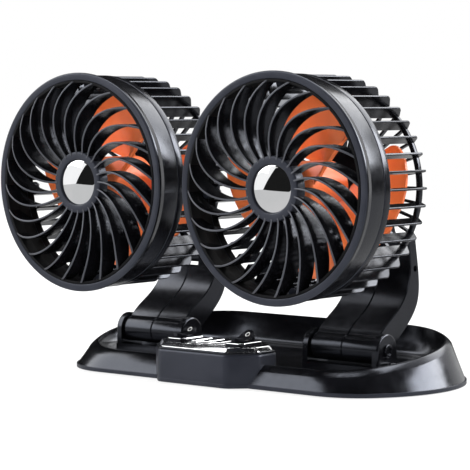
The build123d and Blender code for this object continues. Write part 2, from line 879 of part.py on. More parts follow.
def head_pieces():
    return {
        "front_shell": front_shell(),
        "grille": grille(),
        "hub_cap": hub_cap(),
        "cage": cage(),
        "head_screws": head_screws(),
        "motor": motor(),
        "motor_cover": motor_cover(),
        "shaft": shaft(),
        "impeller": impeller(),
    }


def arm_pieces():
    return {
        "bracket": bracket(),
        "hinge_pin": hinge_pin(),
        "arm_screws": arm_screws(),
        "tilt_pin": tilt_pin(),
        "neck": neck(),
        "swivel_pin": swivel_pin(),
    }


def base_pieces():
    write("base_plate", base_plate())
    write("base_cover", base_cover())
    write("base_pads", base_pads())
    write("case_screws", case_screws())
    write("cord_gland", cord_gland())
    write("control_box", control_box())
    for number, name in enumerate(("lower", "middle", "upper")):
        write("trim_" + name, trim_band(number))
    write("control_top", control_top())
    write("circuit_board", circuit_board())
    write("bracket_screws", bracket_screws())
    switch, paddle = switch_body(), rocker()
    for name, side in sides.items():
        place = Pos(side * switch_spacing / 2, -switch_reach, 0)
        write("switch_" + name, place * switch)
        write("rocker_" + name, place * paddle)


base_pieces()
halves = {turn: arm_half(turn) for turn in sides.values()}
arms = arm_pieces()
heads = head_pieces()
for name, side in sides.items():
    place = Pos(side * arm_spacing / 2, 0, 0)
    for piece, shape in arms.items():
        write(piece + "_" + name, place * shape)
    write("arm_outer_" + name, place * halves[side])
    write("arm_inner_" + name, place * halves[-side])
    for piece, shape in heads.items():
        write(piece + "_" + name, place * Pos(0, 0, head_z) * shape)
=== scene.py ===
"""Looks of the two-headed car fan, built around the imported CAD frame."""

import logging
import math
from dataclasses import dataclass, replace
from enum import Enum

import bmesh
import bpy
from mathutils import Matrix, Vector


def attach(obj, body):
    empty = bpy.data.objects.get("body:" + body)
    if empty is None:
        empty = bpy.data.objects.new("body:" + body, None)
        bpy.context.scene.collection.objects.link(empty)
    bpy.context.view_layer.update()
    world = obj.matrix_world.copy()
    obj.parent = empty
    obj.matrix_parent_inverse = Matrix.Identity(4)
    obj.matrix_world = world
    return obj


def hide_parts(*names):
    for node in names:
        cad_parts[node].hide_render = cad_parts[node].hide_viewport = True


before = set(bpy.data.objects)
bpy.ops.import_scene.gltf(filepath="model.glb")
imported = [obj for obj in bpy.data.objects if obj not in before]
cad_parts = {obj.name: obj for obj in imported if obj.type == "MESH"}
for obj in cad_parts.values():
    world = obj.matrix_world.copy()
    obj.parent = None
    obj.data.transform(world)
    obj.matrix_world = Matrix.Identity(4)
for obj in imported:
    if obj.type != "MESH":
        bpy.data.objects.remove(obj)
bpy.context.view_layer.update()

LOG = logging.getLogger("car_fan")
# one millimetre in metres; lengths are in millimetres and angles in degrees, unless a comment says otherwise
MM = 0.001
# where the hinge line lies in the frame; Y values below are measured from it
HINGE_Y = -3.95
ARM_X = 62.0
HEAD_Z = 99.4
# the radius that stands for the turning line, where a profile starts or ends on it
ON_LINE = 0.001

Point2 = tuple[float, float]
Point3 = tuple[float, float, float]
Colour = tuple[float, float, float]
Outline = tuple[Point2, ...]


class Side(Enum):
    """The two sides of the fan, as its front is seen."""

    LEFT = -1
    RIGHT = 1

    @property
    def suffix(self) -> str:
        """The ending of this side's node and body names."""
        return "_" + self.name.lower()

    @property
    def x(self) -> float:
        """Where this side's arm and head stand."""
        return self.value * ARM_X

    @property
    def line(self) -> Vector:
        """Where the turning line of this side's head runs, along Y."""
        return Vector((self.x, 0, HEAD_Z))


class Band(Enum):
    """The three bands of the switch box's trim, from below."""

    LOWER = 0
    MIDDLE = 1
    UPPER = 2


class Nodes:
    """A short way to write a node tree: each call adds a node and links what it is given."""

    def __init__(self, tree: bpy.types.NodeTree) -> None:
        """Keeps the tree and empties it."""
        self.tree = tree
        tree.nodes.clear()

    def give(self, socket: bpy.types.NodeSocket, value: object) -> None:
        """Fills one input.

        Args:
            socket: the input.
            value: a socket to link, or a value to set.
        """
        if isinstance(value, bpy.types.NodeSocket):
            self.tree.links.new(value, socket)
        else:
            socket.default_value = value

    def add(self, kind: str, settings: dict | None = None, **inputs: object) -> bpy.types.Node:
        """Adds one node and fills its inputs by name.

        Args:
            kind: the node's type name.
            settings: properties of the node itself.
            inputs: sockets by name, with spaces written as underscores.

        Returns:
            The new node.
        """
        node = self.tree.nodes.new(kind)
        for key, value in (settings or {}).items():
            setattr(node, key, value)
        for key, value in inputs.items():
            wanted = key.replace("_", " ")
            sockets = [s for s in node.inputs if s.name == wanted and s.enabled]
            self.give(sockets[0], value)
        return node

    def join(self, kind: str, *inputs: object, **settings: object) -> bpy.types.NodeSocket:
        """Adds one node whose inputs share a name, and fills them in order.

        Args:
            kind: the node's type name.
            inputs: what each input is given, from the first on.
            settings: properties of the node itself.

        Returns:
            The node's first output.
        """
        node = self.tree.nodes.new(kind)
        for key, value in settings.items():
            setattr(node, key, value)
        for socket, value in zip(node.inputs, inputs):
            self.give(socket, value)
        return node.outputs[0]


def new_material(name: str) -> tuple[bpy.types.Material, Nodes]:
    """Starts a node material.

    Args:
        name: the material's name.

    Returns:
        The material and the writer of its empty tree.
    """
    made = bpy.data.materials.new(name)
    made.use_nodes = True
    return made, Nodes(made.node_tree)


@dataclass(frozen=True)
class Finish:
    """A surface finish: two close colours that a soft mottling moves between, a grain and a gloss.

    The gloss is the least and the most roughness. The mottling and the grain are given by their size, and
    the grain by its depth too. The turns say where in its noise a change starts and ends.
    """

    name: str
    slot: str
    dark: Colour
    light: Colour
    gloss: Point2
    grain: float
    grain_depth: float
    mottle: float = 14.0
    metal: float = 0.0
    specular: float = 0.5
    stretch: Point3 = (1.0, 1.0, 1.0)
    tint: Colour = (1.0, 1.0, 1.0)
    mottle_turn: Point2 = (0.35, 0.65)
    gloss_turn: Point2 = (0.3, 0.7)
    gloss_rate: float = 4.0
    mottle_detail: float = 3.0
    gloss_detail: float = 4.0
    grain_detail: float = 2.0

    def material(self) -> bpy.types.Material:
        """Builds the finish's node material once, and gives the same one back after that.

        Returns:
            The material.
        """
        own_name = self.name + "_finish"
        found = bpy.data.materials.get(own_name)
        if found:
            return found
        made, nodes = new_material(own_name)
        self.dress(nodes)
        return made

    def dress(self, nodes: Nodes) -> None:
        """Writes the node tree: mottled colour, uneven gloss and a fine moulded or drawn grain.

        Args:
            nodes: the writer of the material's empty tree.
        """
        noise = "ShaderNodeTexNoise"
        place = nodes.add("ShaderNodeTexCoord").outputs["Object"]
        drawn = nodes.add("ShaderNodeMapping", Vector=place, Scale=self.stretch).outputs["Vector"]
        mottle_size, grain_size = self.mottle * MM, self.grain * MM
        mottle = nodes.add(noise, Vector=place, Scale=1 / mottle_size, Detail=self.mottle_detail)
        smear = nodes.add(noise, Vector=drawn, Scale=self.gloss_rate / mottle_size, Detail=self.gloss_detail)
        grain = nodes.add(noise, Vector=drawn, Scale=1 / grain_size, Detail=self.grain_detail)
        colour = nodes.add("ShaderNodeValToRGB", Fac=mottle.outputs["Fac"])
        for stop, at, shade in zip(colour.color_ramp.elements, self.mottle_turn, (self.dark, self.light)):
            stop.position, stop.color = at, (*shade, 1)
        start, end = self.gloss_turn
        low, high = self.gloss
        rough = nodes.add(
            "ShaderNodeMapRange",
            Value=smear.outputs["Fac"],
            From_Min=start,
            From_Max=end,
            To_Min=low,
            To_Max=high,
        )
        depth = self.grain_depth * MM
        bump = nodes.add("ShaderNodeBump", Height=grain.outputs["Fac"], Distance=depth, Strength=1.0)
        shader = nodes.add(
            "ShaderNodeBsdfPrincipled",
            Base_Color=colour.outputs["Color"],
            Roughness=rough.outputs["Result"],
            Normal=bump.outputs["Normal"],
            Metallic=self.metal,
            Specular_IOR_Level=self.specular,
            Specular_Tint=(*self.tint, 1),
        )
        nodes.add("ShaderNodeOutputMaterial", Surface=shader.outputs["BSDF"])


# the black mouldings mirror the studio a little bluish, as in the photograph
COOL = (0.78, 0.84, 1.0)
GLOSS_BLACK = Finish(
    name="gloss_black",
    slot="gloss_black",
    dark=(0.002, 0.002, 0.0025),
    light=(0.0035, 0.0035, 0.0045),
    gloss=(0.18, 0.25),
    grain=0.9,
    grain_depth=0.0003,
    tint=COOL,
)
SLAT_BLACK = replace(
    GLOSS_BLACK,
    name="slat_black",
    light=(0.004, 0.004, 0.005),
    gloss=(0.16, 0.24),
    specular=0.38,
)
SATIN_BLACK = Finish(
    name="satin_black",
    slot="satin_plastic",
    dark=(0.010, 0.011, 0.016),
    light=(0.015, 0.016, 0.022),
    gloss=(0.34, 0.42),
    grain=0.35,
    grain_depth=0.004,
    tint=COOL,
)
INNER_BLACK = Finish(
    name="inner_black",
    slot="satin_plastic",
    dark=(0.003, 0.003, 0.0035),
    light=(0.005, 0.005, 0.006),
    gloss=(0.55, 0.65),
    grain=0.5,
    grain_depth=0.003,
    specular=0.12,
)
# the slats' front faces: a satin finish, painted a lighter grey than the slats as a highlight on their front
# edges
SLAT_EDGE_HIGHLIGHT = Finish(
    name="slat_edge",
    slot="satin_plastic",
    dark=(0.032, 0.033, 0.038),
    light=(0.045, 0.046, 0.052),
    gloss=(0.3, 0.4),
    grain=0.4,
    grain_depth=0.003,
    tint=COOL,
)
ORANGE = Finish(
    name="orange_plastic",
    slot="orange_plastic",
    dark=(0.88, 0.18, 0.045),
    light=(0.96, 0.22, 0.065),
    gloss=(0.3, 0.4),
    grain=0.6,
    grain_depth=0.003,
)
CHROME = Finish(
    name="chrome_cap",
    slot="chrome_cap",
    dark=(0.86, 0.87, 0.88),
    light=(0.92, 0.92, 0.93),
    gloss=(0.004, 0.01),
    grain=2.0,
    grain_depth=0.00005,
    metal=1.0,
)
# the chrome of the trim bands, also painted on the eased edges of the box's top and the bezels as a
# highlight
CHROME_TRIM_AND_HIGHLIGHT = Finish(
    name="chrome_trim",
    slot="chrome_trim",
    dark=(0.78, 0.79, 0.8),
    light=(0.86, 0.86, 0.87),
    gloss=(0.09, 0.14),
    grain=1.5,
    grain_depth=0.0004,
    metal=1.0,
)
RUBBER = Finish(
    name="pad_rubber",
    slot="pad_rubber",
    dark=(0.012, 0.012, 0.012),
    light=(0.022, 0.022, 0.023),
    gloss=(0.7, 0.85),
    grain=0.5,
    grain_depth=0.03,
)
STEEL = Finish(
    name="screw_steel",
    slot="screw_steel",
    dark=(0.42, 0.42, 0.43),
    light=(0.52, 0.52, 0.53),
    gloss=(0.28, 0.4),
    grain=0.25,
    grain_depth=0.004,
    metal=1.0,
    mottle=5.0,
)
MOTOR_CAN = Finish(
    name="motor_steel",
    slot="motor_steel",
    dark=(0.5, 0.5, 0.51),
    light=(0.6, 0.6, 0.61),
    gloss=(0.25, 0.4),
    grain=0.3,
    grain_depth=0.004,
    metal=1.0,
    stretch=(1.0, 12.0, 1.0),
)
BOARD = Finish(
    name="board_green",
    slot="board_green",
    dark=(0.02, 0.16, 0.06),
    light=(0.05, 0.26, 0.1),
    gloss=(0.3, 0.45),
    grain=1.2,
    grain_depth=0.03,
    mottle=3.0,
)
MARK_WHITE = Finish(
    name="switch_mark",
    slot="satin_plastic",
    dark=(0.55, 0.55, 0.55),
    light=(0.65, 0.65, 0.65),
    gloss=(0.4, 0.5),
    grain=0.4,
    grain_depth=0.003,
)


@dataclass(frozen=True)
class Turning:
    """A piece turned round a line along Y.

    The corners are (radius, y) and the rounds say how much each corner is eased. A closed profile closes on
    itself, and the other kind starts and ends on the turning line.
    """

    corners: Outline
    rounds: tuple[float, ...]
    facets: int
    closed: bool = True


def linked(name: str, data: bpy.types.ID) -> bpy.types.Object:
    """Puts data in the scene as an object at the origin.

    Args:
        name: the object's name.
        data: a mesh, a lamp or a camera.

    Returns:
        The object.
    """
    made = bpy.data.objects.new(name, data)
    bpy.context.scene.collection.objects.link(made)
    return made


def meshed(name: str, shape: bmesh.types.BMesh) -> bpy.types.Object:
    """Turns a bmesh into an object, and frees it.

    Args:
        name: the object's name.
        shape: the bmesh.

    Returns:
        The object.
    """
    mesh = bpy.data.meshes.new(name)
    shape.to_mesh(mesh)
    shape.free()
    return linked(name, mesh)


class Workshop:
    """Makes meshes: turned, lofted and copied pieces, all with their places in their meshes."""

    # points nearer than these are merged, in lofts and in CAD copies, in metres
    MERGE = 1e-6
    COPY_MERGE = 2e-6
    # facets of a CAD copy that differ by less are joined
    FLAT = 0.4
    # edges sharper than these stay sharp, on plain pieces and on curved ones
    SHARP = 32.0
    CURVED_SHARP = 60.0
    BEVEL_FROM = 35.0
    BEVEL_STEPS = 2
    # how far a normal leans forwards on a shell's front, and upwards on an eased upper edge that gets a
    # painted highlight
    FORWARD = 0.5
    RISES = (0.12, 0.97)

    @staticmethod
    def smooth(mesh: bpy.types.Mesh, angle: float = SHARP) -> None:
        """Shades a mesh smooth, except over sharp edges.

        Args:
            mesh: the mesh.
            angle: edges sharper than this stay sharp.
        """
        mesh.shade_smooth()
        mesh.set_sharp_from_angle(angle=math.radians(angle))

    @classmethod
    def from_bmesh(cls, name: str, shape: bmesh.types.BMesh, angle: float = SHARP) -> bpy.types.Object:
        """Turns a bmesh into an object with outward faces.

        Args:
            name: the object's name.
            shape: the bmesh, which is freed.
            angle: edges sharper than this stay sharp.

        Returns:
            The new object.
        """
        bmesh.ops.remove_doubles(shape, verts=shape.verts, dist=cls.MERGE)
        bmesh.ops.recalc_face_normals(shape, faces=shape.faces)
        made = meshed(name, shape)
        cls.smooth(made.data, angle)
        return made

    @staticmethod
    def strip(
        shape: bmesh.types.BMesh, rows: list[list[Vector]], closed: bool = False, around: bool = True
    ) -> list[list[bmesh.types.BMVert]]:
        """Joins rows of equal length with quads.

        Args:
            shape: the bmesh that gets the faces.
            rows: rows of points, in order.
            closed: whether the last row joins the first.
            around: whether each row closes to a ring.

        Returns:
            The rows' vertices.
        """
        made = [[shape.verts.new(p * MM) for p in row] for row in rows]
        pairs = list(zip(made, made[1:]))
        if closed:
            pairs.append((made[-1], made[0]))
        for row, after in pairs:
            count = len(row)
            for i in range(count if around else count - 1):
                j = (i + 1) % count
                shape.faces.new((row[i], row[j], after[j], after[i]))
        return made

    @classmethod
    def loft(cls, name: str, rings: list[list[Vector]], closed: bool = False) -> bpy.types.Object:
        """Makes a skin through rings.

        Args:
            name: the object's name.
            rings: rings of points, in order.
            closed: whether the last ring joins the first; otherwise both ends are capped.

        Returns:
            The new object.
        """
        shape = bmesh.new()
        made = cls.strip(shape, rings, closed)
        if not closed:
            shape.faces.new(made[0])
            shape.faces.new(made[-1])
        return cls.from_bmesh(name, shape)

    @classmethod
    def lathe(
        cls, name: str, profile: list[Point2], line: Vector, facets: int, closed: bool = True
    ) -> bpy.types.Object:
        """Turns a profile round a line along Y.

        Args:
            name: the object's name.
            profile: corner points (radius, y).
            line: where the turning line runs.
            facets: how many facets go round.
            closed: whether the profile closes on itself, or else starts and ends on the line.

        Returns:
            The new object.
        """
        rings = []
        for r, y in profile:
            ring = []
            for step in range(facets):
                turn = 2 * math.pi * step / facets
                at = Vector((r * math.cos(turn), y + HINGE_Y, r * math.sin(turn)))
                ring.append(at + Vector((line.x, 0, line.z)))
            rings.append(ring)
        return cls.loft(name, rings, closed)

    @classmethod
    def turned(cls, name: str, turning: Turning, line: Vector) -> bpy.types.Object:
        """Makes a turned piece with eased corners.

        Args:
            name: the object's name.
            turning: the piece's profile.
            line: where the turning line runs.

        Returns:
            The new object.
        """
        profile = cls.eased(turning.corners, turning.rounds)
        return cls.lathe(name, profile, line, turning.facets, turning.closed)

    @classmethod
    def shelled(cls, made: bpy.types.Object, line: Vector) -> None:
        """Gives a turned shell a satin front, a glossy outside and a dull inside.

        Args:
            made: the shell.
            line: where its turning line runs.
        """
        for finish in (SATIN_BLACK, GLOSS_BLACK, INNER_BLACK):
            made.data.materials.append(finish.material())
        middle = line * MM
        for face in made.data.polygons:
            way = (face.center - middle) * face.normal
            face.material_index = 0 if face.normal.y < -cls.FORWARD else 1 if way.x + way.z > 0 else 2

    @classmethod
    def accented(cls, made: bpy.types.Object, floor: float) -> None:
        """Paints the eased upper edges of a piece with the bright trim's metal, as a painted highlight.

        Args:
            made: the piece, already in its main finish.
            floor: only faces above this height change.
        """
        made.data.materials.append(CHROME_TRIM_AND_HIGHLIGHT.material())
        low, high = cls.RISES
        for face in made.data.polygons:
            if face.center.z > floor * MM and low < face.normal.z < high:
                face.material_index = 1

    @staticmethod
    def eased(corners: Outline, radii: tuple[float, ...], steps: int = 4) -> list[Point2]:
        """Rounds the corners of a closed outline.

        Args:
            corners: the corners.
            radii: how much each corner is rounded, 0 for a sharp one.
            steps: how many points each round gets, less one.

        Returns:
            The outline with its rounds.
        """
        eased = []
        count = len(corners)
        for i, radius in enumerate(radii):
            here = Vector(corners[i])
            if radius <= 0:
                eased.append(tuple(here))
                continue
            before = (Vector(corners[i - 1]) - here).normalized()
            after = (Vector(corners[(i + 1) % count]) - here).normalized()
            half = math.acos(max(-1.0, min(1.0, before.dot(after)))) / 2
            back = radius / math.tan(half)
            middle = here + (before + after).normalized() * radius / math.sin(half)
            start, end = here + before * back - middle, here + after * back - middle
            sweep = math.atan2(start.x * end.y - start.y * end.x, start.dot(end))
            for step in range(steps + 1):
                turn = Matrix.Rotation(sweep * step / steps, 2)
                eased.append(tuple(middle + turn @ start))
        return eased

    @staticmethod
    def fixed(made: bpy.types.Object) -> bpy.types.Object:
        """Applies an object's modifiers.

        Args:
            made: the object.

        Returns:
            The same object, with a plain mesh.
        """
        graph = bpy.context.evaluated_depsgraph_get()
        mesh = bpy.data.meshes.new_from_object(made.evaluated_get(graph), depsgraph=graph)
        made.modifiers.clear()
        old = made.data
        made.data = mesh
        if old.users == 0:
            bpy.data.meshes.remove(old)
        return made

    @classmethod
    def bevelled(cls, made: bpy.types.Object, width: float, angle: float = BEVEL_FROM) -> bpy.types.Object:
        """Softens an object's sharp edges.

        Args:
            made: the object.
            width: how far in the bevel reaches.
            angle: edges sharper than this are softened.

        Returns:
            The same object, with a plain mesh.
        """
        bevel = made.modifiers.new("edges", "BEVEL")
        bevel.width = width * MM
        bevel.segments = cls.BEVEL_STEPS
        bevel.limit_method = "ANGLE"
        bevel.angle_limit = math.radians(angle)
        bevel.harden_normals = True
        weighted = made.modifiers.new("shading", "WEIGHTED_NORMAL")
        weighted.keep_sharp = True
        return cls.fixed(made)

    @classmethod
    def copied(cls, node: str, name: str, width: float) -> bpy.types.Object:
        """Copies a CAD node with its triangles merged, its flats dissolved and its edges softened.

        Args:
            node: the CAD node.
            name: the copy's name.
            width: how far in the bevel reaches, or 0 for none.

        Returns:
            The copy.
        """
        shape = bmesh.new()
        shape.from_mesh(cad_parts[node].data)
        bmesh.ops.remove_doubles(shape, verts=shape.verts, dist=cls.COPY_MERGE)
        bmesh.ops.dissolve_limit(
            shape, angle_limit=math.radians(cls.FLAT), verts=shape.verts, edges=shape.edges, delimit=set()
        )
        made = meshed(name, shape)
        cls.smooth(made.data)
        return cls.bevelled(made, width) if width else made


def placed(
    made: bpy.types.Object, finish: Finish, body: str, *nodes: str, dressed: bool = False
) -> bpy.types.Object:
    """Gives a piece its finish, its body and the CAD nodes that it stands for.

    Args:
        made: the piece.
        finish: its finish, or the main one of a piece that is dressed already.
        body: the CAD body that it rides on.
        nodes: the CAD nodes that it replaces.
        dressed: whether the piece already has its materials.

    Returns:
        The same piece.
    """
    if not dressed:
        made.data.materials.clear()
        made.data.materials.append(finish.material())
    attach(made, body)
    if nodes:
        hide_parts(*nodes)
    LOG.info("%s: %d faces, on %s", made.name, len(made.data.polygons), body)
    return made


def place_copy(node: str, finish: Finish, body: str, width: float, end: str = "") -> None:
    """Puts a softened copy of a CAD node in that node's place.

    Args:
        node: the CAD node, without its side's ending.
        finish: the copy's finish.
        body: the CAD body that it rides on, with its ending.
        width: how far in its bevel reaches, or 0 for none.
        end: the side's ending, which comes last in the copy's name.
    """
    made = Workshop.copied(node + end, node + "_finished" + end, width)
    placed(made, finish, body, node + end)


class Repeater:
    """A Geometry Nodes tree that sets copies of a piece round a line along Y."""

    NAME = "set_round"
    # faces with this mark get the second finish, which on the slats is a lighter grey painted on as a
    # highlight
    MARK = "edge_finish"
    SOCKETS = (
        ("Piece", "Geometry"),
        ("Count", "Int"),
        ("Centre", "Vector"),
        ("Finish", "Material"),
        ("Edge Finish", "Material"),
    )

    @classmethod
    def tree(cls) -> bpy.types.NodeTree:
        """Builds the tree once, and gives the same one back after that.

        Returns:
            The tree, which turns the copies, moves them, makes them real and gives them their finishes.
        """
        found = bpy.data.node_groups.get(cls.NAME)
        if found:
            return found
        tree = bpy.data.node_groups.new(cls.NAME, "GeometryNodeTree")
        for label, kind in cls.SOCKETS:
            tree.interface.new_socket(label, in_out="INPUT", socket_type="NodeSocket" + kind)
        tree.interface.new_socket("Geometry", in_out="OUTPUT", socket_type="NodeSocketGeometry")
        nodes = Nodes(tree)
        given = nodes.add("NodeGroupInput").outputs
        line = nodes.add("GeometryNodeMeshLine", Count=given["Count"], Offset=(0.0, 0.0, 0.0))
        index = nodes.add("GeometryNodeInputIndex").outputs["Index"]
        part = nodes.join("ShaderNodeMath", -2 * math.pi, given["Count"], operation="DIVIDE")
        turn = nodes.join("ShaderNodeMath", index, part, operation="MULTIPLY")
        spin = nodes.add("ShaderNodeCombineXYZ", Y=turn)
        copies = nodes.add(
            "GeometryNodeInstanceOnPoints",
            Points=line.outputs["Mesh"],
            Instance=given["Piece"],
            Rotation=spin.outputs["Vector"],
        )
        moved = nodes.add(
            "GeometryNodeTransform", Geometry=copies.outputs["Instances"], Translation=given["Centre"]
        )
        real = nodes.add("GeometryNodeRealizeInstances", Geometry=moved.outputs["Geometry"])
        main = nodes.add(
            "GeometryNodeSetMaterial", Geometry=real.outputs["Geometry"], Material=given["Finish"]
        )
        # the marked faces get the second finish, on the slats a lighter grey painted on as a highlight
        marked = nodes.add("GeometryNodeInputNamedAttribute", {"data_type": "BOOLEAN"}, Name=cls.MARK)
        second = nodes.add(
            "GeometryNodeSetMaterial",
            Geometry=main.outputs["Geometry"],
            Selection=marked.outputs["Attribute"],
            Material=given["Edge Finish"],
        )
        nodes.add("NodeGroupOutput", Geometry=second.outputs["Geometry"])
        return tree

    @classmethod
    def round_line(
        cls, piece: bpy.types.Object, count: int, line: Vector, finish: Finish, edge: Finish | None = None
    ) -> bpy.types.Object:
        """Sets copies of a piece round a line, as one plain mesh.

        Args:
            piece: one piece, modelled round the Y axis.
            count: how many.
            line: where the line runs.
            finish: the finish.
            edge: the finish of the marked faces, a painted highlight on the slats, or None for the same.

        Returns:
            The same object, with the whole set.
        """
        tree = cls.tree()
        values = {
            "Count": count,
            "Centre": tuple(line * MM),
            "Finish": finish.material(),
            "Edge Finish": (edge or finish).material(),
        }
        modifier = piece.modifiers.new(tree.name, "NODES")
        modifier.node_group = tree
        for item in tree.interface.items_tree:
            if item.in_out == "INPUT" and item.name in values:
                modifier[item.identifier] = values[item.name]
        made = Workshop.fixed(piece)
        mark = made.data.attributes.get(cls.MARK)
        if mark:
            made.data.attributes.remove(mark)
        return made


@dataclass
class TrayBase:
    """The tray-shaped base: its top shell is lofted here, its other pieces are softened CAD copies."""

    plate_r: float = 62.0
    plate_spacing: float = 97.0
    plate_front: float = 39.0
    crest_r: float = 51.0
    crest_spacing: float = 104.0
    crest_front: float = 33.5
    setback: float = 12.5
    corner: float = 34.0
    lip: float = 0.7
    foot_z: float = 2.6
    crest_z: float = 16.35
    slope: float = 8.5
    rim_w: float = 3.0
    floor_z: float = 9.7
    scoop_w: float = 6.0
    scoop_steps: int = 12
    round_w: float = 2.3
    round_h: float = 2.8
    round_steps: int = 7
    fullness: float = 0.4
    # where the outer wall gets a ring between its foot and its round
    wall_shares: Point2 = (0.04, 0.5)
    # the rim's inner edge: how far in and how far down
    rim_shape: Outline = ((2.62, 0.02), (2.8, 0.07), (2.93, 0.17), (2.98, 0.3))
    # points on the front, a front corner, a round end and the rear
    counts: tuple[int, int, int, int] = (40, 8, 72, 24)
    # the pieces that are copied, with their finishes and bevels: single ones, and one for each side
    single: tuple[tuple[str, Finish, float], ...] = (
        ("base_plate", SATIN_BLACK, 0.35),
        ("base_pads", RUBBER, 0.3),
        ("case_screws", STEEL, 0.12),
        ("cord_gland", RUBBER, 0.4),
        ("bracket_screws", STEEL, 0.15),
    )
    paired: tuple[tuple[str, Finish, float], ...] = (
        ("bracket", GLOSS_BLACK, 0.4),
        ("hinge_pin", GLOSS_BLACK, 0.2),
    )

    def outline(self, end_r: float, spacing: float, front_reach: float, inset: float) -> list[Point2]:
        """The base's outline as seen from above, always with the same number of points.

        Args:
            end_r: radius of the round ends.
            spacing: how far the ends' middles stand apart.
            front_reach: how far ahead of the hinge line the straight front lies.
            inset: how far in from that outline.

        Returns:
            Points from the left of the front, anticlockwise.
        """
        line, fillet, arc, rear = self.counts
        r = end_r - inset
        front = front_reach - inset
        half = spacing / 2
        ease = self.corner
        ease_x = half + math.sqrt((r - ease) ** 2 - (self.setback + front - ease) ** 2)
        start = math.atan2(ease - front - self.setback, ease_x - half)
        points = [(-ease_x + 2 * ease_x * step / line, -front) for step in range(line)]
        for step in range(fillet):
            turn = -math.pi / 2 + (start + math.pi / 2) * step / fillet
            points.append((ease_x + ease * math.cos(turn), ease - front + ease * math.sin(turn)))
        for step in range(arc):
            turn = start + (math.pi / 2 - start) * step / arc
            points.append((half + r * math.cos(turn), self.setback + r * math.sin(turn)))
        points += [(half - 2 * half * step / rear, self.setback + r) for step in range(rear)]
        mirrored = [(-x, y) for x, y in points[line : line + fillet + arc]]
        left_end = [(-half, self.setback + r)] + mirrored[:0:-1]
        return points + left_end

    def crest_ring(self, inset: float, drop: float = 0.0, share: float = 1.0) -> list[Vector]:
        """A ring on the tilted crest plane.

        Args:
            inset: how far in from the crest's outline.
            drop: how far under the crest.
            share: 1 for the crest's own tilt, 0 for level on the tray's floor.

        Returns:
            The ring's points.
        """
        tilt = math.radians(self.slope * share)
        z = self.floor_z + share * (self.crest_z - self.floor_z) - drop
        flat = self.outline(self.crest_r, self.crest_spacing, self.crest_front, inset)
        return [Vector((x, y * math.cos(tilt) + HINGE_Y, z + y * math.sin(tilt))) for x, y in flat]

    def cover(self) -> bpy.types.Object:
        """The top shell: outer wall, softened rim and scooped tray.

        Returns:
            The shell.
        """
        foot = self.outline(self.plate_r, self.plate_spacing, self.plate_front, self.lip)
        bottom = [Vector((x, y + HINGE_Y, self.foot_z)) for x, y in foot]
        crest = self.crest_ring(0.0)
        wall = [b.lerp(a, self.round_h / (b.z - a.z)) for a, b in zip(bottom, crest)]
        land = self.crest_ring(self.round_w)
        rings = [bottom]
        for share in self.wall_shares:
            rings.append([a.lerp(b, share) for a, b in zip(bottom, wall)])
        bend = [((a + c) / 2).lerp(b, self.fullness) for a, b, c in zip(wall, crest, land)]
        for step in range(self.round_steps + 1):
            t = step / self.round_steps
            rings.append([a.lerp(b, t).lerp(b.lerp(c, t), t) for a, b, c in zip(wall, bend, land)])
        rings += [self.crest_ring(inset, drop) for inset, drop in self.rim_shape]
        for step in range(self.scoop_steps + 1):
            fall = step / self.scoop_steps
            inset = self.rim_w + self.scoop_w * (1 - math.sqrt(1 - fall**2))
            rings.append(self.crest_ring(inset, share=1 - fall))
        return Workshop.loft("tray_cover", rings)

    def build(self) -> None:
        """Builds the base and gives its pieces their finishes."""
        placed(self.cover(), GLOSS_BLACK, "base", "base_cover")
        for node, finish, width in self.single:
            place_copy(node, finish, "base", width)
        for side in Side:
            for node, finish, width in self.paired:
                place_copy(node + side.suffix, finish, "base", width)


